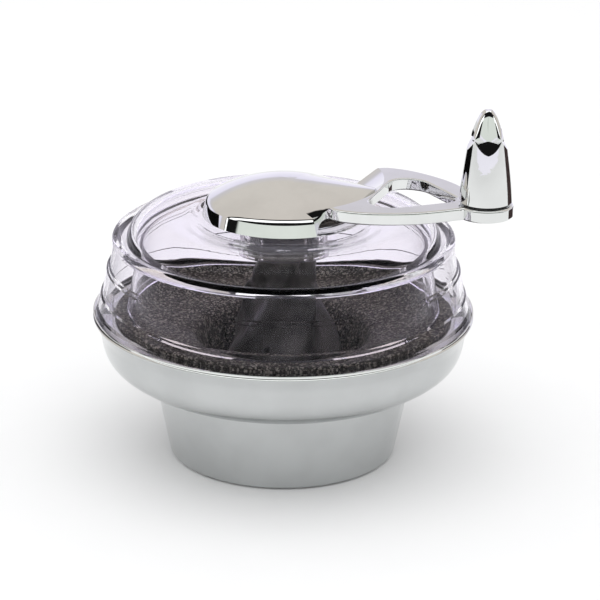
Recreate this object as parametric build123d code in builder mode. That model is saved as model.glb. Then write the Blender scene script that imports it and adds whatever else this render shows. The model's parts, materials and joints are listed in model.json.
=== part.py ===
from build123d import *
from math import asin, cos, degrees, hypot, pi, radians, sin
import os

os.makedirs("parts", exist_ok=True)

# A table-top nutcracker. Whole nuts lie in a round dark bowl under a clear lid. Turning the crank
# turns a lobed rotor that carries them down into the bowl's narrowing throat, where they crack, and
# the pieces fall into the catch cup that the whole thing stands on.
#
# Origin: centre of the foot pad's flat underside. +Z is up, +X runs along the crank arm at rest.
# All sizes are in millimetres.

# Stack heights above the table
cup_base_z = 0.6          # underside of the catch cup, just clear of the table
seat_z = 30.5             # cup rim, where the base bowl stands
ledge_z = 57.0            # ledge inside the base bowl's rim, where the lid stands
rim_z = 59.0              # top of the base bowl's rim
lid_bead_z = 90.0         # bead round the shoulder of the lid
hub_recess_z = 96.4       # flat in the middle of the lid, under the crank
arm_bottom_z = 107.2
arm_top_z = 112.0
knob_tip_z = 148.5

# Radii and reach
pad_radius = 38.0
cup_foot_radius = 44.7
cup_rim_radius = 50.6
rim_radius = 75.0
flange_radius = 65.7      # cracking bowl
lid_foot_radius = 73.5
lid_bead_radius = 66.9
cap_radius = 32.0
spindle_radius = 4.0
arm_reach = 81.2          # crank axis to knob axis

# Walls, gaps and fits
pad_height = 1.6
plastic_wall = 2.3
running_fit = 0.05        # radial clearance of a shaft in its bush
loose_fit = 0.3

# Angles about +Z, in degrees
rest_turn = 20.5          # how far the lid's lugs and the knob's grooves stand round from the arm
screw_angle = 30.0        # first of three screws under the cracking bowl
bridge_angle = 90.0       # first of three arms of the bridge


def polar(radius, angle):
    """A point in a sketch at this radius and angle."""
    return (radius * cos(radians(angle)), radius * sin(radians(angle)))


def circles_of(piece, radius):
    """The circular edges of this radius."""
    circles = piece.edges().filter_by(GeomType.CIRCLE)
    return circles.filter_by(lambda edge: abs(edge.radius - radius) < 0.01)


def radial_plane(radius, angle, height):
    """A plane that faces outward at this angle about +Z, with its own Y pointing up."""
    across = cos(radians(angle))
    along = sin(radians(angle))
    return Plane(
        origin=(radius * across, radius * along, height),
        x_dir=(-along, across, 0),
        z_dir=(across, along, 0),
    )


# ---------------------------------------------------------------- catch cup, the standing body

with BuildPart() as foot_pad:
    with BuildSketch():
        Circle(pad_radius)
    extrude(amount=pad_height)
    chamfer(foot_pad.edges().group_by(Axis.Z)[0], 0.3)
foot_pad.part.label = "foot_pad"
export_step(foot_pad.part, "parts/foot_pad.step")

cup_floor_z = 3.4
with BuildPart() as catch_cup:
    with BuildSketch(Plane.XZ):
        with BuildLine():
            Polyline(
                (0, pad_height),
                (pad_radius + loose_fit, pad_height),
                (pad_radius + loose_fit, cup_base_z),
                (cup_foot_radius, cup_base_z),
                (cup_rim_radius, seat_z),
                (cup_rim_radius - plastic_wall, seat_z),
                (cup_foot_radius - plastic_wall, cup_floor_z),
                (0, cup_floor_z),
                close=True,
            )
        make_face()
    revolve(axis=Axis.Z)
    fillet(circles_of(catch_cup, cup_foot_radius), 1.2)
    fillet(circles_of(catch_cup, cup_foot_radius - plastic_wall), 4.0)
    fillet(catch_cup.edges().group_by(Axis.Z)[-1], 0.4)
catch_cup.part.label = "catch_cup"
export_step(catch_cup.part, "parts/catch_cup.step")


# ---------------------------------------------------------------- base bowl, which lifts off the cup

spigot_radius = 45.9      # ring under the bowl that centres it in the cup
spigot_bore = 43.3
spigot_z = 24.5
seal_groove_radius = 45.0
seal_bottom_z = 26.0
seal_top_z = 28.2
floor_hole_radius = 33.5
floor_top_z = seat_z + plastic_wall
ledge_bore = 63.4
ledge_under_z = ledge_z - plastic_wall
screw_circle = 40.0
notch_inner = 66.2
notch_outer = 71.4
notch_width = 7.8

with BuildPart() as base_bowl:
    with BuildSketch(Plane.XZ):
        with BuildLine():
            Polyline(
                (cup_rim_radius, seat_z),
                (spigot_radius, seat_z),
                (spigot_radius, seal_top_z),
                (seal_groove_radius, seal_top_z),
                (seal_groove_radius, seal_bottom_z),
                (spigot_radius, seal_bottom_z),
                (spigot_radius, spigot_z),
                (spigot_bore, spigot_z),
                (spigot_bore, seat_z),
                (floor_hole_radius, seat_z),
                (floor_hole_radius, floor_top_z),
                (51.0, floor_top_z),
            )
            Spline(
                (51.0, floor_top_z),
                (60.5, 37.0),
                (67.2, 42.4),
                (69.1, 48.0),
                (70.3, ledge_under_z),
                tangents=((3, 1), (1, 4)),
            )
            Polyline(
                (70.3, ledge_under_z),
                (ledge_bore, ledge_under_z),
                (ledge_bore, ledge_z),
                (73.9, ledge_z),
                (73.9, rim_z - 0.3),
                (74.2, rim_z),
            )
            Line((74.2, rim_z), (rim_radius - 0.3, rim_z))
            RadiusArc((rim_radius - 0.3, rim_z), (rim_radius - 0.3, rim_z - 1.8), -0.95)
            Spline(
                (rim_radius - 0.3, rim_z - 1.8),
                (72.2, 52.0),
                (71.0, 46.0),
                (68.4, 40.2),
                (62.4, 35.5),
                (cup_rim_radius, seat_z),
                tangents=((-1.6, -3), (-3, -1)),
            )
        make_face()
    revolve(axis=Axis.Z)
    with PolarLocations(screw_circle, 3, screw_angle):
        Hole(1.7)
    with BuildSketch(Plane.XY.offset(ledge_under_z)):
        with PolarLocations((notch_inner + notch_outer) / 2, 2, rest_turn):
            Rectangle(notch_outer - notch_inner, notch_width)
    extrude(amount=plastic_wall, mode=Mode.SUBTRACT)
base_bowl.part.label = "base_bowl"
export_step(base_bowl.part, "parts/base_bowl.step")

seal_radius = 46.9
with BuildPart() as cup_seal:
    with BuildSketch(Plane.XZ):
        with BuildLine():
            Polyline(
                (seal_groove_radius, seal_bottom_z),
                (seal_groove_radius, seal_top_z),
                (spigot_radius, seal_top_z),
                (seal_radius, seal_top_z - 0.7),
                (seal_radius, seal_bottom_z + 0.7),
                (spigot_radius, seal_bottom_z),
                close=True,
            )
        make_face()
    revolve(axis=Axis.Z)
cup_seal.part.label = "cup_seal"
export_step(cup_seal.part, "parts/cup_seal.step")

bridge_top_z = 35.3       # top of the bridge's ring, where the cracking bowl's neck stands
neck_radius = 34.0
throat_radius = 30.0
post_radius = 3.4
flute_count = 18

post_top_z = 48.6
screw_radius = 1.25
screw_length = 9.5
screw_hole_depth = 9.0
screw_head_height = 2.0
bowl_screw_head_radius = 2.9
flute_circle = 31.0
flute_radius = 1.6
flute_length = 14.0
with BuildPart() as cracking_bowl:
    with BuildSketch(Plane.XZ):
        with BuildLine():
            Polyline(
                (59.6, 58.3),
                (60.4, rim_z),
                (flange_radius - 0.4, rim_z),
                (flange_radius, rim_z - 0.4),
                (flange_radius, ledge_z),
                (62.4, ledge_z),
                (62.4, 55.4),
            )
            Spline((62.4, 55.4), (57.0, 51.0), (48.0, 49.0), (37.4, 46.8), tangents=((-1, -2), (-4, -1)))
            Polyline(
                (37.4, 46.8),
                (neck_radius, 41.0),
                (neck_radius, bridge_top_z),
                (throat_radius, bridge_top_z),
                (31.0, 40.0),
                (34.4, post_top_z),
                (36.6, 50.4),
            )
            Spline((36.6, 50.4), (47.0, 52.2), (55.6, 54.6), (59.6, 58.3), tangents=((4, 1), (1, 2)))
        make_face()
    revolve(axis=Axis.Z)
    # posts that the screws pull down on to the base bowl's floor
    with BuildSketch(Plane.XY.offset(floor_top_z)):
        with PolarLocations(screw_circle, 3, screw_angle):
            Circle(post_radius)
    extrude(amount=post_top_z - floor_top_z)
    with BuildSketch(Plane.XY.offset(floor_top_z)):
        with PolarLocations(screw_circle, 3, screw_angle):
            Circle(screw_radius + 0.1)
    extrude(amount=screw_hole_depth, mode=Mode.SUBTRACT)
    # flutes that grip a nut in the throat, fading out where the throat widens
    with BuildSketch(Plane.XY.offset(bridge_top_z)):
        with PolarLocations(flute_circle, flute_count):
            Circle(flute_radius)
    extrude(amount=flute_length, mode=Mode.SUBTRACT)
cracking_bowl.part.label = "cracking_bowl"
export_step(cracking_bowl.part, "parts/cracking_bowl.step")

with BuildPart() as bowl_screws:
    with BuildSketch(Plane.XY.offset(seat_z - screw_head_height)):
        with PolarLocations(screw_circle, 3, screw_angle):
            Circle(bowl_screw_head_radius)
    extrude(amount=screw_head_height)
    fillet(bowl_screws.edges().group_by(Axis.Z)[0], screw_head_height / 2)
    with BuildSketch(Plane.XY.offset(seat_z)):
        with PolarLocations(screw_circle, 3, screw_angle):
            Circle(screw_radius)
    extrude(amount=screw_length)
    # cross recess in each head
    with BuildSketch(Plane.XY.offset(seat_z - screw_head_height)):
        with PolarLocations(screw_circle, 3, screw_angle):
            Rectangle(3.0, 0.7)
            Rectangle(0.7, 3.0)
    extrude(amount=1.1, mode=Mode.SUBTRACT)
bowl_screws.part.label = "bowl_screws"
export_step(bowl_screws.part, "parts/bowl_screws.step")

hub_top_z = 38.0
bridge_hub_radius = 9.0
bush_radius = 6.0
lower_flange_radius = 8.2
with BuildPart() as spider_bridge:
    with BuildSketch(Plane.XY.offset(floor_top_z)):
        Circle(35.5)
        Circle(31.2, mode=Mode.SUBTRACT)
    extrude(amount=bridge_top_z - floor_top_z)
    with BuildSketch(Plane.XY.offset(floor_top_z)):
        with PolarLocations(20.0, 3, bridge_angle):
            Rectangle(24.0, 5.0)
    extrude(amount=3.4)
    with BuildSketch(Plane.XY.offset(seat_z)):
        Circle(bridge_hub_radius)
    extrude(amount=hub_top_z - seat_z)
    with BuildSketch(Plane.XY.offset(seat_z)):
        Circle(bush_radius)
    extrude(amount=hub_top_z - seat_z, mode=Mode.SUBTRACT)
    # cut the arms' outer ends back to the ring's own circle, under the bowl's neck
    with BuildSketch(Plane.XY.offset(bridge_top_z)):
        Circle(40.0)
        Circle(29.4, mode=Mode.SUBTRACT)
    extrude(amount=3.0, mode=Mode.SUBTRACT)
spider_bridge.part.label = "spider_bridge"
export_step(spider_bridge.part, "parts/spider_bridge.step")

bush_flange_z = hub_top_z + 0.8
with BuildPart() as lower_bush:
    with BuildSketch(Plane.XZ):
        with BuildLine():
            Polyline(
                (spindle_radius + running_fit, seat_z),
                (bush_radius, seat_z),
                (bush_radius, hub_top_z),
                (lower_flange_radius, hub_top_z),
                (lower_flange_radius, bush_flange_z),
                (spindle_radius + running_fit, bush_flange_z),
                close=True,
            )
        make_face()
    revolve(axis=Axis.Z)
lower_bush.part.label = "lower_bush"
export_step(lower_bush.part, "parts/lower_bush.step")

rotor_base_z = bush_flange_z + 0.6
with BuildPart() as lower_washer:
    with BuildSketch(Plane.XY.offset(bush_flange_z)):
        Circle(bridge_hub_radius)
        Circle(spindle_radius + loose_fit, mode=Mode.SUBTRACT)
    extrude(amount=rotor_base_z - bush_flange_z)
lower_washer.part.label = "lower_washer"
export_step(lower_washer.part, "parts/lower_washer.step")


# ---------------------------------------------------------------- lid, which lifts off the base bowl

boss_bore = 13.5
boss_radius = 17.0
boss_foot_z = 84.6
shoulder_under_z = 86.4   # underside of the lid's shoulder, where the chamber ring is bonded
lug_inner = 66.8
lug_width = 7.0
lug_foot_z = 55.0
lug_arch_z = 5.4          # from the lug's foot to where its round top begins
lug_depth = 4.2

with BuildPart() as lid_shell:
    with BuildSketch(Plane.XZ):
        with BuildLine():
            Polyline(
                (boss_bore, boss_foot_z),
                (boss_radius, boss_foot_z),
                (boss_radius, 93.6),
                (33.0, 93.7),
            )
            Spline(
                (33.0, 93.7),
                (46.0, 95.4),
                (54.6, 93.4),
                (57.4, 89.6),
                (57.6, shoulder_under_z),
                tangents=((1, 0.1), (0, -1)),
            )
            Polyline(
                (57.6, shoulder_under_z),
                (63.6, shoulder_under_z),
                (64.4, 85.4),
                (68.6, 66.0),
                (70.8, 60.2),
                (70.8, ledge_z),
                (lid_foot_radius, ledge_z),
                (lid_foot_radius, 60.4),
                (71.6, 66.0),
                (70.9, 66.6),
                (69.2, 76.3),
                (68.6, 76.7),
                (68.4, 77.8),
                (67.8, 78.2),
                (66.4, 86.4),
                (lid_bead_radius, 87.0),
                (lid_bead_radius, 88.4),
            )
            ThreePointArc((lid_bead_radius, 88.4), (66.3, lid_bead_z - 0.4), (65.0, lid_bead_z))
            Spline(
                (65.0, lid_bead_z),
                (63.2, 89.2),
                (61.3, 88.8),
                tangents=((-1, -0.1), (-1, 0.1)),
            )
            Spline(
                (61.3, 88.8),
                (60.3, 91.6),
                (57.0, 95.6),
                (48.0, 98.0),
                (36.6, 97.2),
                (33.6, hub_recess_z),
                tangents=((-0.2, 1), (-2, -1)),
            )
            Polyline((33.6, hub_recess_z), (boss_bore, hub_recess_z), (boss_bore, boss_foot_z))
        make_face()
    revolve(axis=Axis.Z)
    # webs that stiffen the boss
    with BuildSketch(Plane.XY.offset(boss_foot_z + 1.0)):
        with PolarLocations(18.4, 6, rest_turn):
            Rectangle(4.4, 1.6)
    extrude(amount=hub_recess_z - boss_foot_z - 2.0)
    # two arched lugs inside the collar, which drop into the base bowl's notches
    for turn in (rest_turn, rest_turn + 180):
        with BuildSketch(radial_plane(lug_inner, turn, lug_foot_z)):
            with Locations((0, lug_arch_z / 2)):
                Rectangle(lug_width, lug_arch_z)
            with Locations((0, lug_arch_z)):
                Circle(lug_width / 2)
        extrude(amount=lug_depth)
lid_shell.part.label = "lid_shell"
export_step(lid_shell.part, "parts/lid_shell.step")

ring_foot_z = 59.4
ring_wall = 1.8
ring_foot_bore = 59.4
ring_top_bore = 54.8
with BuildPart() as chamber_ring:
    with BuildSketch(Plane.XZ):
        with BuildLine():
            Polyline(
                (ring_foot_bore, ring_foot_z),
                (ring_foot_bore + ring_wall, ring_foot_z),
                (ring_top_bore + ring_wall, shoulder_under_z - 1.6),
                (61.2, shoulder_under_z - 1.6),
                (61.2, shoulder_under_z),
                (ring_top_bore, shoulder_under_z),
                close=True,
            )
        make_face()
    revolve(axis=Axis.Z)
chamber_ring.part.label = "chamber_ring"
export_step(chamber_ring.part, "parts/chamber_ring.step")

bush_foot_z = 85.4
bush_flange_radius = 15.5
bush_flange_height = 1.0
groove_depth = 1.1
groove_height = 1.5
with BuildPart() as lid_bush:
    with BuildSketch(Plane.XZ):
        with BuildLine():
            Polyline(
                (spindle_radius + running_fit, bush_foot_z),
                (boss_bore, bush_foot_z),
                (boss_bore, hub_recess_z),
                (bush_flange_radius, hub_recess_z),
                (bush_flange_radius, hub_recess_z + bush_flange_height),
                (spindle_radius + running_fit, hub_recess_z + bush_flange_height),
                close=True,
            )
        make_face()
    revolve(axis=Axis.Z)
    # rings turned into the neck
    for groove_z in (87.2, 90.2, 93.2):
        with BuildSketch(Plane.XY.offset(groove_z)):
            Circle(boss_bore + 1.0)
            Circle(boss_bore - groove_depth, mode=Mode.SUBTRACT)
        extrude(amount=groove_height, mode=Mode.SUBTRACT)
lid_bush.part.label = "lid_bush"
export_step(lid_bush.part, "parts/lid_bush.step")

cap_hub_z = 98.2
with BuildPart() as lid_washer:
    with BuildSketch(Plane.XY.offset(hub_recess_z + 1.0)):
        Circle(11.0)
        Circle(spindle_radius + loose_fit, mode=Mode.SUBTRACT)
    extrude(amount=cap_hub_z - hub_recess_z - 1.0)
lid_washer.part.label = "lid_washer"
export_step(lid_washer.part, "parts/lid_washer.step")


# ---------------------------------------------------------------- crank, which turns in the lid

spindle_foot_z = 31.2
spindle_head_z = 107.0
circlip_z = 84.3
circlip_height = 0.8
circlip_groove = 3.3
rotor_pin_z = 47.0
rotor_pin_radius = 1.5
hub_pin_z = 100.8
hub_pin_radius = 1.25

with BuildPart() as drive_spindle:
    with BuildSketch(Plane.XY.offset(spindle_foot_z)):
        Circle(spindle_radius)
    extrude(amount=spindle_head_z - spindle_foot_z)
    chamfer(drive_spindle.edges().group_by(Axis.Z)[0], 0.8)
    with BuildSketch(Plane.XY.offset(circlip_z)):
        Circle(spindle_radius + 1.0)
        Circle(circlip_groove, mode=Mode.SUBTRACT)
    extrude(amount=circlip_height, mode=Mode.SUBTRACT)
    with Locations(Plane.XZ):
        with Locations((0, rotor_pin_z)):
            Hole(rotor_pin_radius)
    with Locations(Plane.YZ):
        with Locations((0, hub_pin_z)):
            Hole(hub_pin_radius)
drive_spindle.part.label = "drive_spindle"
export_step(drive_spindle.part, "parts/drive_spindle.step")

# Rotor: sections are circles with five soft lobes, each turned a little further than the one below.
lobe_count = 5
rotor_top_z = 83.4
rotor_sections = [
    # height, mean radius, lobe height, turn in degrees
    (rotor_base_z, 21.6, 1.5, 0),
    (43.6, 21.2, 1.7, 12),
    (52.0, 17.2, 2.2, 30),
    (63.0, 13.4, 1.9, 54),
    (74.0, 11.4, 1.2, 78),
    (rotor_top_z, 10.6, 0.7, 98),
]


def lobed_circle(radius, lobe, turn):
    """Points of a closed outline: a circle with lobes that are narrower than the hollows between."""
    points = []
    steps = lobe_count * 8
    for step in range(steps):
        angle = 2 * pi * step / steps
        swell = (0.5 + 0.5 * cos(lobe_count * (angle - radians(turn)))) ** 2
        reach = radius + lobe * (2 * swell - 0.6)
        points.append((reach * cos(angle), reach * sin(angle)))
    return points


with BuildPart() as cracking_rotor:
    for height, radius, lobe, turn in rotor_sections:
        with BuildSketch(Plane.XY.offset(height)):
            with BuildLine():
                Spline(*lobed_circle(radius, lobe, turn), periodic=True)
            make_face()
    loft()
    with BuildSketch(Plane.XY.offset(rotor_base_z)):
        Circle(spindle_radius + running_fit)
    extrude(amount=rotor_top_z - rotor_base_z, mode=Mode.SUBTRACT)
    with Locations(Plane.XZ):
        with Locations((0, rotor_pin_z)):
            Hole(rotor_pin_radius)
cracking_rotor.part.label = "cracking_rotor"
export_step(cracking_rotor.part, "parts/cracking_rotor.step")

rotor_pin_length = 28.0
with BuildPart() as rotor_pin:
    with BuildSketch(Plane.XZ.offset(-rotor_pin_length / 2)):
        with Locations((0, rotor_pin_z)):
            Circle(rotor_pin_radius)
    extrude(amount=rotor_pin_length)
rotor_pin.part.label = "rotor_pin"
export_step(rotor_pin.part, "parts/rotor_pin.step")

clip_radius = 6.6
with BuildPart() as spindle_clip:
    with BuildSketch(Plane.XY.offset(circlip_z)):
        Circle(clip_radius)
        Circle(circlip_groove, mode=Mode.SUBTRACT)
        # the clip's open side
        with Locations((5.0, 0)):
            Rectangle(10.0, 2 * circlip_groove, mode=Mode.SUBTRACT)
    extrude(amount=circlip_height)
spindle_clip.part.label = "spindle_clip"
export_step(spindle_clip.part, "parts/spindle_clip.step")

# Crank casting: a domed cap with a flat arm. A ridge runs from the dome out to the arm, with a
# scooped hollow on each side of it. The arm has a rounded window and a round boss for the knob.
skirt_foot_z = 98.2
skirt_top_z = 102.9
skirt_top_radius = 30.6
dome_edge_radius = 29.0
dome_edge_z = 104.8
dome_top_z = 112.6
dome_rise = dome_top_z - dome_edge_z
dome_radius = (dome_edge_radius**2 + dome_rise**2) / (2 * dome_rise)
dome_half_angle = degrees(asin(dome_edge_radius / dome_radius))
cap_wall = 2.4
hub_radius = 9.0
end_boss_radius = 10.7
thread_radius = 2.0

# half of the arm's outline, from inside the cap out to the end boss
root_start = (12.0, 17.5)
prong_tip = (29.0, 27.2)
shoulder = (36.5, 29.3)
boss_meet = (75.6, 9.1)

# root of the arm, which flares up from the foot of the cap to the arm's underside
root_foot_radius = 32.4
root_waist = (33.6, 103.6)
root_top_radius = 38.0
root_top_z = arm_bottom_z + 0.7

# scoop: a cone about an upright axis behind the crank's own, whose rim meets the tips of the prongs
scoop_centre = -6.0
scoop_radius = hypot(prong_tip[0] - scoop_centre, prong_tip[1])
scoop_slope = 0.75

# ridge: starts just under the dome with the dome's own curve, and tightens on its way out to the arm
ridge_length = 37.0
ridge_end_radius = 14.0
ridge_sink = 0.1
ridge_drop = 0.6
ridge_half_angle = 38.5

# window in the arm: a five-cornered outline with round corners
window_back = 38.8
window_half_width = 18.4
window_shoulder = 51.0
window_point = 72.6


def is_outline(point):
    """Whether this edge centre is on the arm's outline rather than round the window."""
    beyond_window = abs(point.Y) > window_half_width + 0.2 or point.X > window_point + 0.2
    return point.X > root_start[0] + 1 and beyond_window


def plate_edges(piece, height, outside):
    """Level edges of the arm's plate at this height: its outline, or the window's."""
    level = piece.edges().filter_by_position(Axis.Z, height - 0.01, height + 0.01)
    if outside:
        return level.filter_by(lambda edge: is_outline(edge.center()))
    return level.filter_by(lambda edge: edge.center().X > window_back - 0.1 and not is_outline(edge.center()))


# root of the arm, below the plate
with BuildPart() as arm_root:
    with BuildSketch(Plane.XZ):
        with BuildLine():
            Line((skirt_top_radius, skirt_foot_z), (root_foot_radius, skirt_foot_z))
            ThreePointArc((root_foot_radius, skirt_foot_z), root_waist, (root_top_radius, arm_bottom_z))
            Polyline(
                (root_top_radius, arm_bottom_z),
                (root_top_radius, root_top_z),
                (dome_edge_radius - 3.0, root_top_z),
                (dome_edge_radius - 3.0, dome_edge_z - 0.8),
                (skirt_top_radius, skirt_top_z - 1.9),
                (skirt_top_radius, skirt_foot_z),
            )
        make_face()
    revolve(axis=Axis.Z)
    with BuildSketch(Plane.XY.offset(skirt_foot_z)):
        with BuildLine():
            Polyline(
                (root_start[0], 0),
                root_start,
                prong_tip,
                (window_back, prong_tip[1]),
                (window_back, 0),
            )
            mirror(about=Plane.XZ)
        make_face()
    extrude(amount=root_top_z - skirt_foot_z, mode=Mode.INTERSECT)

with BuildPart() as arm:
    with BuildSketch(Plane.XY.offset(arm_bottom_z)):
        with BuildLine():
            Line((root_start[0], 0), root_start)
            Line(root_start, prong_tip)
            Spline(prong_tip, (32.2, 28.9), shoulder, tangents=((2, 2), (1, 0)))
            Spline(
                shoulder,
                (50.0, 26.4),
                (61.8, 20.5),
                (70.0, 13.9),
                boss_meet,
                tangents=((1, 0), (2, -1.5)),
            )
            Line(boss_meet, (boss_meet[0], 0))
            mirror(about=Plane.XZ)
        make_face()
        with Locations((arm_reach, 0)):
            Circle(end_boss_radius)
    extrude(amount=arm_top_z - arm_bottom_z)
    with BuildSketch(Plane.XY.offset(arm_bottom_z)) as window:
        with BuildLine():
            Polyline(
                (window_back, -window_half_width),
                (window_shoulder, -window_half_width),
                (window_point, 0),
                (window_shoulder, window_half_width),
                (window_back, window_half_width),
                close=True,
            )
        make_face()
        fillet(window.vertices().filter_by_position(Axis.X, window_back - 1, window_back + 1), 7.0)
        fillet(window.vertices().filter_by_position(Axis.X, window_shoulder - 1, window_shoulder + 1), 9.0)
        fillet(window.vertices().filter_by_position(Axis.X, window_point - 1, window_point + 1), 5.0)
    extrude(amount=arm_top_z - arm_bottom_z, mode=Mode.SUBTRACT)
    for height, outer_radius in ((arm_top_z, 0.9), (arm_bottom_z, 0.6)):
        fillet(plate_edges(arm, height, True), outer_radius)
        fillet(plate_edges(arm, height, False), 0.6)
    add(arm_root.part)
    with BuildSketch(Plane(origin=(scoop_centre, 0, arm_top_z), x_dir=(1, 0, 0), z_dir=(0, -1, 0))):
        with BuildLine():
            Polyline(
                (0, -scoop_slope * scoop_radius),
                (scoop_radius, 0),
                (scoop_radius, 1.0),
                (0, 1.0),
                close=True,
            )
        make_face()
    revolve(axis=Axis((scoop_centre, 0, 0), (0, 0, 1)), mode=Mode.SUBTRACT)

# the ridge is a segment of a circle at each end, trimmed to the plan of the dome and the arm's root
with BuildPart() as ridge:
    for distance, radius in ((0, dome_radius), (ridge_length, ridge_end_radius)):
        crest_z = dome_top_z - ridge_sink - ridge_drop * distance / ridge_length
        half_width = radius * sin(radians(ridge_half_angle))
        edge_z = crest_z - radius * (1 - cos(radians(ridge_half_angle)))
        with BuildSketch(Plane(origin=(distance, 0, 0), x_dir=(0, 1, 0), z_dir=(1, 0, 0))):
            with BuildLine():
                ThreePointArc((-half_width, edge_z), (0, crest_z), (half_width, edge_z))
                Line((-half_width, edge_z), (half_width, edge_z))
            make_face()
    loft(ruled=True)
    with BuildSketch(Plane.XY.offset(skirt_foot_z)):
        Circle(dome_edge_radius - 0.5)
        with BuildLine():
            Polyline((0, 0), root_start, prong_tip, (ridge_length, 0))
            mirror(about=Plane.XZ)
        make_face()
    extrude(amount=dome_top_z - skirt_foot_z, mode=Mode.INTERSECT)

with BuildPart() as crank_casting:
    with BuildSketch(Plane.XZ):
        with BuildLine():
            Polyline(
                (0, cap_hub_z),
                (hub_radius, cap_hub_z),
                (hub_radius, 109.4),
            )
            ThreePointArc((hub_radius, 109.4), (20.0, 106.6), (28.0, 101.6))
            Polyline(
                (28.0, 101.6),
                (cap_radius - cap_wall, 100.6),
                (cap_radius - cap_wall, skirt_foot_z),
                (cap_radius, skirt_foot_z),
                (skirt_top_radius, skirt_top_z),
            )
            ThreePointArc((skirt_top_radius, skirt_top_z), (29.95, 104.0), (dome_edge_radius, dome_edge_z))
            CenterArc((0, dome_top_z - dome_radius), dome_radius, 90 - dome_half_angle, dome_half_angle)
            Line((0, dome_top_z), (0, cap_hub_z))
        make_face()
    revolve(axis=Axis.Z)
    add(arm.part)
    add(ridge.part)
    # sockets for the spindle, the pin across the hub and the knob's screw
    with BuildSketch(Plane.XY.offset(cap_hub_z)):
        Circle(spindle_radius)
    extrude(amount=spindle_head_z - cap_hub_z, mode=Mode.SUBTRACT)
    with BuildSketch(Plane.YZ.offset(-hub_radius)):
        with Locations((0, hub_pin_z)):
            Circle(hub_pin_radius)
    extrude(amount=2 * hub_radius, mode=Mode.SUBTRACT)
    with BuildSketch(Plane((arm_reach, 0, arm_bottom_z))):
        Circle(thread_radius)
    extrude(amount=arm_top_z - arm_bottom_z, mode=Mode.SUBTRACT)
crank_casting.part.label = "crank_casting"
export_step(crank_casting.part, "parts/crank_casting.step")

hub_pin_length = 17.2
with BuildPart() as hub_pin:
    with BuildSketch(Plane.YZ.offset(-hub_pin_length / 2)):
        with Locations((0, hub_pin_z)):
            Circle(hub_pin_radius)
    extrude(amount=hub_pin_length)
hub_pin.part.label = "hub_pin"
export_step(hub_pin.part, "parts/hub_pin.step")


# ---------------------------------------------------------------- knob, which turns on the arm

washer_top_z = arm_top_z + 0.6
sleeve_foot_z = washer_top_z + 0.05    # a running gap, so the knob turns freely
shank_radius = 2.5
screw_seat_z = 124.0
screw_head_radius = 3.4
counterbore_radius = 3.6
knob_step_z = 137.5       # joint between the sleeve and its tip
groove_foot_z = 132.8     # point where the tip's grooves run out on the sleeve
groove_foot_radius = 7.8
groove_valley = 4.4       # distance of a groove's bottom from the axis at the joint
groove_slope = 8.0        # lean of each groove wall away from flat, in degrees
groove_count = 4
petal_half_angle = 14.0


def knob_plane(height):
    """A level plane centred on the knob's axis."""
    return Plane((arm_reach, 0, height))


with BuildPart() as knob_washer:
    with BuildSketch(knob_plane(arm_top_z)):
        Circle(8.0)
        Circle(shank_radius + running_fit, mode=Mode.SUBTRACT)
    extrude(amount=washer_top_z - arm_top_z)
knob_washer.part.label = "knob_washer"
export_step(knob_washer.part, "parts/knob_washer.step")

with BuildPart() as knob_screw:
    with BuildSketch(knob_plane(arm_bottom_z + 0.4)):
        Circle(thread_radius)
    extrude(amount=arm_top_z - arm_bottom_z - 0.4)
    with BuildSketch(knob_plane(arm_top_z)):
        Circle(shank_radius)
    extrude(amount=screw_seat_z + loose_fit - arm_top_z)
    with BuildSketch(knob_plane(screw_seat_z + loose_fit)):
        Circle(screw_head_radius)
    extrude(amount=3.0)
    with BuildSketch(knob_plane(screw_seat_z + loose_fit + 1.5)):
        RegularPolygon(radius=1.8, side_count=6)
    extrude(amount=1.5, mode=Mode.SUBTRACT)
knob_screw.part.label = "knob_screw"
export_step(knob_screw.part, "parts/knob_screw.step")

with BuildPart() as knob_sleeve:
    with BuildSketch(Plane((arm_reach, 0, 0), x_dir=(1, 0, 0), z_dir=(0, -1, 0))):
        with BuildLine():
            Polyline(
                (9.6, sleeve_foot_z),
                (shank_radius + running_fit, sleeve_foot_z),
                (shank_radius + running_fit, screw_seat_z),
                (counterbore_radius, screw_seat_z),
                (counterbore_radius, knob_step_z),
                (7.1, knob_step_z),
            )
            Spline((7.1, knob_step_z), (8.65, 127.0), (9.8, 117.0), (10.1, sleeve_foot_z + 0.5))
            Line((10.1, sleeve_foot_z + 0.5), (9.6, sleeve_foot_z))
        make_face()
    revolve(axis=Axis((arm_reach, 0, 0), (0, 0, 1)))
    # four leaning cuts, each very slightly V-shaped, that end in a point
    rise = knob_step_z - groove_foot_z
    spread = 9.0
    for step in range(groove_count):
        angle = radians(rest_turn + step * 360 / groove_count)
        lean = (groove_valley - groove_foot_radius) / rise
        with BuildSketch(knob_plane(groove_foot_z).rotated((0, 0, rest_turn + step * 360 / groove_count))):
            with BuildLine():
                Polyline(
                    (groove_foot_radius, 0),
                    (groove_foot_radius + spread * sin(radians(groove_slope)), spread),
                    (groove_foot_radius + 12.0, spread),
                    (groove_foot_radius + 12.0, -spread),
                    (groove_foot_radius + spread * sin(radians(groove_slope)), -spread),
                    close=True,
                )
            make_face()
        extrude(
            amount=(rise + 0.5) * (1 + lean**2) ** 0.5,
            dir=(lean * cos(angle), lean * sin(angle), 1),
            mode=Mode.SUBTRACT,
        )
knob_sleeve.part.label = "knob_sleeve"
export_step(knob_sleeve.part, "parts/knob_sleeve.step")

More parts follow.
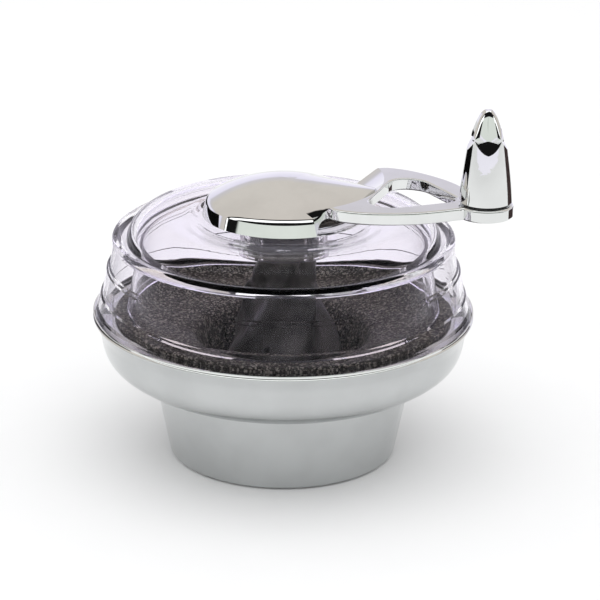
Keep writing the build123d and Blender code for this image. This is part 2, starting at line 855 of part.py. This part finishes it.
plug_length = 4.0
tip_sections = [
    # height, radius of the four petals, distance of the grooves' bottoms from the axis
    (knob_step_z, 6.9, groove_valley - 0.2),
    (141.0, 5.95, 3.3),
    (144.5, 4.5, 2.4),
    (147.2, 2.9, 1.6),
    (knob_tip_z, 1.5, 0.9),
]
with BuildPart() as knob_tip:
    for height, petal_radius, valley in tip_sections:
        with BuildSketch(knob_plane(height)):
            with BuildLine():
                for step in range(groove_count):
                    middle = rest_turn + (step + 0.5) * 360 / groove_count
                    start = polar(petal_radius, middle - petal_half_angle)
                    end = polar(petal_radius, middle + petal_half_angle)
                    before = polar(valley, middle - 180 / groove_count)
                    after = polar(valley, middle + 180 / groove_count)
                    Line(before, start)
                    ThreePointArc(start, polar(petal_radius, middle), end)
                    Line(end, after)
            make_face()
    loft()
    # plug that fills the mouth of the sleeve's counterbore
    with BuildSketch(knob_plane(knob_step_z - plug_length)):
        Circle(screw_head_radius)
    extrude(amount=plug_length)
knob_tip.part.label = "knob_tip"
export_step(knob_tip.part, "parts/knob_tip.step")
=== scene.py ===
"""Crank nutcracker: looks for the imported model.

Metres, in the row frame: +Z up, +X along the arm.
"""

import json
from math import cos, radians, sin

import bpy
from mathutils import Matrix, Vector

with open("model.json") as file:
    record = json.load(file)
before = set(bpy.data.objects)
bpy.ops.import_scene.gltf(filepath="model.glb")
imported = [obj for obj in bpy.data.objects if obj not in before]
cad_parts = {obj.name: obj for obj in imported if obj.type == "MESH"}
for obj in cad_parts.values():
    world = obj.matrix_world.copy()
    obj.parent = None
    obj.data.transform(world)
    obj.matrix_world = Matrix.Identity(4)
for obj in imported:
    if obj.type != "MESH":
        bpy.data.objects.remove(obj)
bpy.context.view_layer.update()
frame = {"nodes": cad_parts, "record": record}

MM = 0.001
scene = bpy.context.scene

# ---------------------------------------------------------------- camera

CAMERA_TURN = 20.6        # degrees round from the -Y side towards +X
CAMERA_HEIGHT = 20.2      # degrees above the horizon
CAMERA_DISTANCE = 1.1034
TARGET = Vector((0.0, 0.0, 0.060))
SENSOR_WIDTH = 36.0       # millimetres
LENS = 168.2              # millimetres
AIM_YAW = -0.339          # small turns of the camera after it faces the target, in degrees
AIM_PITCH = 0.095
AIM_ROLL = -0.459
CLIP_START = 0.01
CLIP_END = 20.0


def towards(turn, height=0.0):
    """Unit vector that leaves the object at this turn and height, in degrees.

    The turn goes round from -Y towards +X, and the height is above the horizon.
    """
    flat = cos(radians(height))
    return Vector((flat * sin(radians(turn)), -flat * cos(radians(turn)), sin(radians(height))))


def add_camera():
    back = towards(CAMERA_TURN, CAMERA_HEIGHT)
    right = towards(CAMERA_TURN + 90)
    forward = -back
    up = right.cross(forward)
    yaw = Matrix.Rotation(radians(AIM_YAW), 3, up)
    forward, right = yaw @ forward, yaw @ right
    pitch = Matrix.Rotation(radians(AIM_PITCH), 3, right)
    forward, up = pitch @ forward, pitch @ up
    roll = Matrix.Rotation(radians(AIM_ROLL), 3, forward)
    right, up = roll @ right, roll @ up
    data = bpy.data.cameras.new("camera")
    data.lens = LENS
    data.sensor_width = SENSOR_WIDTH
    data.clip_start = CLIP_START
    data.clip_end = CLIP_END
    camera = bpy.data.objects.new("camera", data)
    scene.collection.objects.link(camera)
    turned = Matrix((right, up, -forward)).transposed()
    camera.matrix_world = Matrix.Translation(TARGET + CAMERA_DISTANCE * back) @ turned.to_4x4()
    scene.camera = camera


# ---------------------------------------------------------------- node helpers

NOISE_ROUGHNESS = 0.55


class Nodes:
    """A material's or world's node tree, with short ways to add and join nodes."""

    def __init__(self, tree):
        self.tree = tree
        tree.nodes.clear()

    def add(self, kind, **settings):
        node = self.tree.nodes.new("ShaderNode" + kind)
        for name, value in settings.items():
            setattr(node, name, value)
        return node

    def feed(self, socket, value):
        """Joins another node's output to this socket, or sets a plain value on it."""
        if isinstance(value, bpy.types.NodeSocket):
            self.tree.links.new(value, socket)
        else:
            socket.default_value = value

    def math(self, operation, first, second=0.0, third=0.0):
        node = self.add("Math", operation=operation)
        for socket, value in zip(node.inputs, (first, second, third)):
            self.feed(socket, value)
        return node.outputs[0]

    def mix(self, amount, first, second):
        node = self.add("MixRGB")
        self.feed(node.inputs[0], amount)
        self.feed(node.inputs[1], first)
        self.feed(node.inputs[2], second)
        return node.outputs[0]

    def between(self, value, low, high, start=0.0, end=1.0, smooth=True):
        """value mapped from low..high to start..end, and held there outside."""
        blend = "SMOOTHSTEP" if smooth else "LINEAR"
        node = self.add("MapRange", interpolation_type=blend)
        for socket, number in zip(node.inputs, (value, low, high, start, end)):
            self.feed(socket, number)
        return node.outputs[0]

    def noise(self, place, scale, detail=3.0):
        """Soft cloudy noise. The scale is in features per metre, as in cells."""
        node = self.add("TexNoise")
        self.feed(node.inputs["Vector"], place)
        node.inputs["Scale"].default_value = scale
        node.inputs["Detail"].default_value = detail
        node.inputs["Roughness"].default_value = NOISE_ROUGHNESS
        return node.outputs["Fac"]

    def cells(self, place, scale):
        node = self.add("TexVoronoi")
        self.feed(node.inputs["Vector"], place)
        node.inputs["Scale"].default_value = scale
        return node

    def stretched(self, place, scale):
        node = self.add("Mapping")
        self.feed(node.inputs["Vector"], place)
        node.inputs["Scale"].default_value = scale
        return node.outputs[0]

    def bump(self, height, depth, strength=1.0, normal=None):
        """Bump with its depth in metres."""
        node = self.add("Bump")
        node.inputs["Distance"].default_value = depth
        node.inputs["Strength"].default_value = strength
        self.feed(node.inputs["Height"], height)
        if normal is not None:
            self.feed(node.inputs["Normal"], normal)
        return node.outputs[0]


def rgb(red, green, blue):
    return (red, green, blue, 1.0)


def shaded(colour, factor):
    """This colour, darker or lighter by a factor."""
    return tuple(factor * part for part in colour[:3]) + (1.0,)


def new_material(name):
    """A material with one Principled shader.

    Returns the material, its nodes, the shader and the place on the object.
    """
    material = bpy.data.materials.new(name)
    material.use_nodes = True
    nodes = Nodes(material.node_tree)
    shader = nodes.add("BsdfPrincipled")
    output = nodes.add("OutputMaterial")
    nodes.tree.links.new(shader.outputs[0], output.inputs["Surface"])
    place = nodes.add("TexCoord").outputs["Object"]
    return material, nodes, shader, place


# ---------------------------------------------------------------- materials

NOISE_SPREAD = (0.3, 0.7)     # the range that most of a noise's values fall in
BRIGHT_CHROME = rgb(0.77, 0.785, 0.775)
SATIN_TOP = 57.3 * MM     # the base bowl is satin up to here, and its rim above is polished
SATIN_EDGE = 0.3 * MM     # half the height over which one finish turns into the other
RIM_GLOSS = 0.15          # the polished rim's roughness, as a share of the satin's
HAZE = 0.3                # how far the fine haze moves the roughness, as a share of its range
PIT_RADIUS = 0.05         # as a share of the spacing between pits


def chrome(name, tint, roughness, ripple, polished_above=None):
    """Plated metal: cloudy gloss, a slight ripple, and fine pits.

    It can be polished above a height, in metres.
    """
    material, nodes, shader, place = new_material(name)
    cloud = nodes.noise(place, scale=45.0, detail=4.0)
    haze = nodes.noise(place, scale=900.0, detail=2.0)
    shader.inputs["Metallic"].default_value = 1.0
    colour = nodes.mix(nodes.between(cloud, 0.35, 0.65), shaded(tint, 0.93), tint)
    low, high = roughness
    gloss = nodes.between(cloud, *NOISE_SPREAD, low, high)
    gloss = nodes.math("MULTIPLY_ADD", haze, HAZE * (high - low), gloss)
    if polished_above is not None:
        height = nodes.add("SeparateXYZ")
        nodes.feed(height.inputs[0], place)
        upper = nodes.between(
            height.outputs["Z"],
            polished_above - SATIN_EDGE,
            polished_above + SATIN_EDGE,
        )
        colour = nodes.mix(upper, colour, BRIGHT_CHROME)
        share = nodes.between(upper, 0.0, 1.0, start=1.0, end=RIM_GLOSS, smooth=False)
        gloss = nodes.math("MULTIPLY", gloss, share)
    nodes.feed(shader.inputs["Base Color"], colour)
    nodes.feed(shader.inputs["Roughness"], gloss)
    waves = nodes.bump(nodes.noise(place, scale=70.0, detail=1.0), depth=ripple)
    spacing = nodes.cells(place, scale=260.0).outputs["Distance"]
    pits = nodes.between(spacing, 0.0, PIT_RADIUS)
    pitted = nodes.bump(pits, depth=0.004 * MM, strength=0.5, normal=waves)
    nodes.feed(shader.inputs["Normal"], pitted)
    return material


# Well below the 1.49 of a common clear plastic, at which the walls showed dark lines. It was
# chosen for the look and isn't physical.
CLEAR_INDEX = 1.14


def clear_plastic(name, tint):
    """Moulded clear plastic: faint smears, and a very slight ripple from the mould."""
    material, nodes, shader, place = new_material(name)
    smear = nodes.noise(place, scale=30.0, detail=4.0)
    shader.inputs["IOR"].default_value = CLEAR_INDEX
    shader.inputs["Specular IOR Level"].default_value = 1.0
    shader.inputs["Transmission Weight"].default_value = 1.0
    # painted sheen: a lilac sheen stands in for the light that the walls catch where they are
    # seen edge on; the plastic has no sheen of its own
    shader.inputs["Sheen Weight"].default_value = 0.6
    shader.inputs["Sheen Roughness"].default_value = 0.3
    shader.inputs["Sheen Tint"].default_value = rgb(0.90, 0.87, 1.0)
    colour = nodes.mix(nodes.between(smear, 0.4, 0.6), shaded(tint, 0.985), tint)
    nodes.feed(shader.inputs["Base Color"], colour)
    gloss = nodes.between(smear, 0.4, 0.75, start=0.0, end=0.012)
    nodes.feed(shader.inputs["Roughness"], gloss)
    ripple = nodes.noise(place, scale=18.0, detail=0.0)
    nodes.feed(shader.inputs["Normal"], nodes.bump(ripple, depth=0.01 * MM))
    return material


def grained_iron(name):
    """Dark, coarse, sandy casting: black with paler grains."""
    material, nodes, shader, place = new_material(name)
    grain = nodes.cells(place, scale=950.0)
    specks = nodes.cells(place, scale=1500.0)
    patch = nodes.noise(place, scale=60.0, detail=4.0)
    base = nodes.mix(
        nodes.between(patch, *NOISE_SPREAD),
        rgb(0.014, 0.012, 0.010),
        rgb(0.036, 0.031, 0.027),
    )
    value = nodes.add("RGBToBW")
    nodes.feed(value.inputs[0], specks.outputs["Color"])
    pale = nodes.between(value.outputs[0], 0.60, 0.78)
    nodes.feed(shader.inputs["Base Color"], nodes.mix(pale, base, rgb(0.30, 0.27, 0.24)))
    gloss = nodes.between(patch, *NOISE_SPREAD, start=0.45, end=0.7)
    nodes.feed(shader.inputs["Roughness"], gloss)
    nodes.feed(shader.inputs["Normal"], nodes.bump(grain.outputs["Distance"], depth=0.35 * MM))
    return material


def dark_iron(name):
    """Finer dark casting, with lighter patches."""
    material, nodes, shader, place = new_material(name)
    patch = nodes.noise(place, scale=80.0, detail=5.0)
    shader.inputs["Metallic"].default_value = 0.6
    colour = nodes.mix(
        nodes.between(patch, 0.35, 0.7),
        rgb(0.030, 0.029, 0.028),
        rgb(0.085, 0.08, 0.076),
    )
    nodes.feed(shader.inputs["Base Color"], colour)
    gloss = nodes.between(patch, *NOISE_SPREAD, start=0.38, end=0.55)
    nodes.feed(shader.inputs["Roughness"], gloss)
    grain = nodes.noise(place, scale=1400.0, detail=3.0)
    nodes.feed(shader.inputs["Normal"], nodes.bump(grain, depth=0.08 * MM))
    return material


def turned_metal(name, tint):
    """Turned metal: fine rings round the Z axis, and slightly mottled colour."""
    material, nodes, shader, place = new_material(name)
    squeezed = nodes.stretched(place, (0.02, 0.02, 1.0))
    rings = nodes.noise(squeezed, scale=2500.0, detail=2.0)
    patch = nodes.noise(place, scale=120.0, detail=3.0)
    shader.inputs["Metallic"].default_value = 1.0
    nodes.feed(shader.inputs["Base Color"], nodes.mix(patch, shaded(tint, 0.8), tint))
    gloss = nodes.between(rings, *NOISE_SPREAD, start=0.22, end=0.36)
    nodes.feed(shader.inputs["Roughness"], gloss)
    nodes.feed(shader.inputs["Normal"], nodes.bump(rings, depth=0.01 * MM))
    return material


MOULDING_SPREAD = 0.06    # how far a moulding's roughness drifts either way


def dark_moulding(name, tint, roughness, grain):
    """Rubber or black plastic with a fine moulded grain."""
    material, nodes, shader, place = new_material(name)
    patch = nodes.noise(place, scale=90.0, detail=4.0)
    colour = nodes.mix(nodes.between(patch, 0.35, 0.7), tint, shaded(tint, 1.6))
    nodes.feed(shader.inputs["Base Color"], colour)
    low, high = roughness - MOULDING_SPREAD, roughness + MOULDING_SPREAD
    nodes.feed(shader.inputs["Roughness"], nodes.between(patch, *NOISE_SPREAD, low, high))
    surface = nodes.noise(place, scale=1800.0, detail=2.0)
    nodes.feed(shader.inputs["Normal"], nodes.bump(surface, depth=grain))
    return material


def matt_paper(name, scale, detail, first, second, specular):
    """Unglazed paper that drifts between two close colours."""
    material, nodes, shader, place = new_material(name)
    fibre = nodes.noise(place, scale, detail)
    nodes.feed(shader.inputs["Base Color"], nodes.mix(fibre, first, second))
    shader.inputs["Roughness"].default_value = 0.9
    shader.inputs["Specular IOR Level"].default_value = specular
    return material


def paint_nodes():
    """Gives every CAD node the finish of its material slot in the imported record."""
    finishes = {
        "bright_chrome": chrome(
            "bright_chrome",
            BRIGHT_CHROME,
            roughness=(0.01, 0.035),
            ripple=0.02 * MM,
        ),
        "satin_chrome": chrome(
            "satin_chrome",
            rgb(0.575, 0.59, 0.59),
            roughness=(0.12, 0.17),
            ripple=0.01 * MM,
            polished_above=SATIN_TOP,
        ),
        "clear_lid": clear_plastic("clear_lid", rgb(0.975, 0.960, 0.995)),
        "grained_iron": grained_iron("grained_iron"),
        "dark_iron": dark_iron("dark_iron"),
        "steel": turned_metal("steel", rgb(0.62, 0.62, 0.63)),
        "bronze": turned_metal("bronze", rgb(0.62, 0.44, 0.25)),
        "black_plastic": dark_moulding(
            "black_plastic",
            rgb(0.035, 0.033, 0.034),
            roughness=0.24,
            grain=0.02 * MM,
        ),
        "rubber": dark_moulding(
            "rubber",
            rgb(0.022, 0.022, 0.022),
            roughness=0.7,
            grain=0.05 * MM,
        ),
    }
    for part in frame["record"]["subparts"]:
        for slot in frame["nodes"][part["node"]].material_slots:
            slot.material = finishes[part["material_slot"]]


# ---------------------------------------------------------------- studio

FLOOR_HALF_WIDTH = 3.0    # large enough for every view
HALF_TURN = 180           # degrees

# The bands that reflections see in the room, by their angle in degrees from the far horizon,
# over the top, to the near horizon.
BLACK_BAND = rgb(0.01, 0.01, 0.01)
BRIGHT_BAND = rgb(1.8, 1.8, 1.8)
NEAR_BAND = rgb(0.90, 0.94, 0.89)
ROOM_BANDS = [
    (0, rgb(1.08, 1.05, 1.16)),
    (15, rgb(0.97, 0.93, 1.10)),
    (19, rgb(0.72, 0.69, 0.73)),
    (28, rgb(0.75, 0.70, 0.655)),
    (85, rgb(0.77, 0.71, 0.665)),
    (87, BLACK_BAND),
    (97, BLACK_BAND),
    (99, BRIGHT_BAND),
    (121, BRIGHT_BAND),
    (123, BLACK_BAND),
    (156, BLACK_BAND),
    (158, NEAR_BAND),
    (HALF_TURN, NEAR_BAND),
]


def add_panel(name, corners):
    """A flat four-cornered sheet."""
    mesh = bpy.data.meshes.new(name)
    mesh.from_pydata(corners, [], [(0, 1, 2, 3)])
    panel = bpy.data.objects.new(name, mesh)
    scene.collection.objects.link(panel)
    return panel


def add_floor():
    """A plain white floor."""
    half = FLOOR_HALF_WIDTH
    corners = [(-half, -half, 0), (half, -half, 0), (half, half, 0), (-half, half, 0)]
    floor = add_panel("floor", corners)
    paper = matt_paper(
        "floor_paper",
        scale=25.0,
        detail=4.0,
        first=rgb(0.90, 0.90, 0.905),
        second=rgb(0.92, 0.92, 0.925),
        specular=0.1,
    )
    floor.data.materials.append(paper)


def add_softbox(name, turn, height, distance, side, power):
    """A square lamp that faces the object and doesn't show in reflections."""
    data = bpy.data.lights.new(name, "AREA")
    data.shape = "RECTANGLE"
    data.size = data.size_y = side
    data.energy = power
    lamp = bpy.data.objects.new(name, data)
    scene.collection.objects.link(lamp)
    away = towards(turn, height)
    facing = away.to_track_quat("Z", "Y").to_matrix().to_4x4()
    lamp.matrix_world = Matrix.Translation(TARGET + distance * away) @ facing
    lamp.visible_glossy = False


def add_room():
    """The room round the object: plain white, with bands that only reflections see."""
    world = bpy.data.worlds.new("room")
    scene.world = world
    world.use_nodes = True
    nodes = Nodes(world.node_tree)
    way = nodes.add("TexCoord").outputs["Generated"]
    front = nodes.add("VectorMath", operation="DOT_PRODUCT")
    nodes.feed(front.inputs[0], way)
    front.inputs[1].default_value = towards(CAMERA_TURN)
    height = nodes.add("SeparateXYZ")
    nodes.feed(height.inputs[0], way)
    back = nodes.math("MULTIPLY", front.outputs["Value"], -1.0)
    over = nodes.math("ARCTAN2", height.outputs["Z"], back)
    ramp = nodes.add("ValToRGB")
    nodes.feed(ramp.inputs[0], nodes.math("DIVIDE", over, radians(HALF_TURN)))
    elements = ramp.color_ramp.elements
    while len(elements) < len(ROOM_BANDS):
        elements.new(1.0)
    for element, (angle, colour) in zip(elements, ROOM_BANDS):
        element.position = angle / HALF_TURN
        element.color = colour
    reflected = nodes.add("LightPath").outputs["Is Glossy Ray"]
    shader = nodes.add("Background")
    colour = nodes.mix(reflected, rgb(1.0, 1.0, 1.0), ramp.outputs[0])
    nodes.feed(shader.inputs["Color"], colour)
    output = nodes.add("OutputWorld")
    nodes.tree.links.new(shader.outputs[0], output.inputs["Surface"])


def add_flag(name, turn, distance, width, height, colour):
    """An upright dark card, seen only in reflections, that gives the shiny pieces their edges."""
    middle = distance * towards(turn)
    along = 0.5 * width * towards(turn + 90)
    rise = Vector((0, 0, height))
    corners = [middle - along, middle + along, middle + along + rise, middle - along + rise]
    flag = add_panel(name, corners)
    card = matt_paper(
        name + "_card",
        scale=20.0,
        detail=3.0,
        first=colour,
        second=shaded(colour, 1.3),
        specular=0.0,
    )
    flag.data.materials.append(card)
    flag.visible_camera = False
    flag.visible_diffuse = False
    flag.visible_transmission = False
    flag.visible_shadow = False


add_camera()
paint_nodes()
add_floor()
add_room()
add_softbox("top_softbox", turn=0, height=80, distance=1.2, side=1.4, power=4.0)
add_flag(
    "left_flag",
    turn=CAMERA_TURN - 125,
    distance=0.24,
    width=0.34,
    height=0.11,
    colour=rgb(0.004, 0.004, 0.004),
)
add_flag(
    "right_flag",
    turn=CAMERA_TURN + 115,
    distance=0.30,
    width=0.20,
    height=0.11,
    colour=rgb(0.05, 0.035, 0.035),
)
scene.view_settings.view_transform = "Standard"
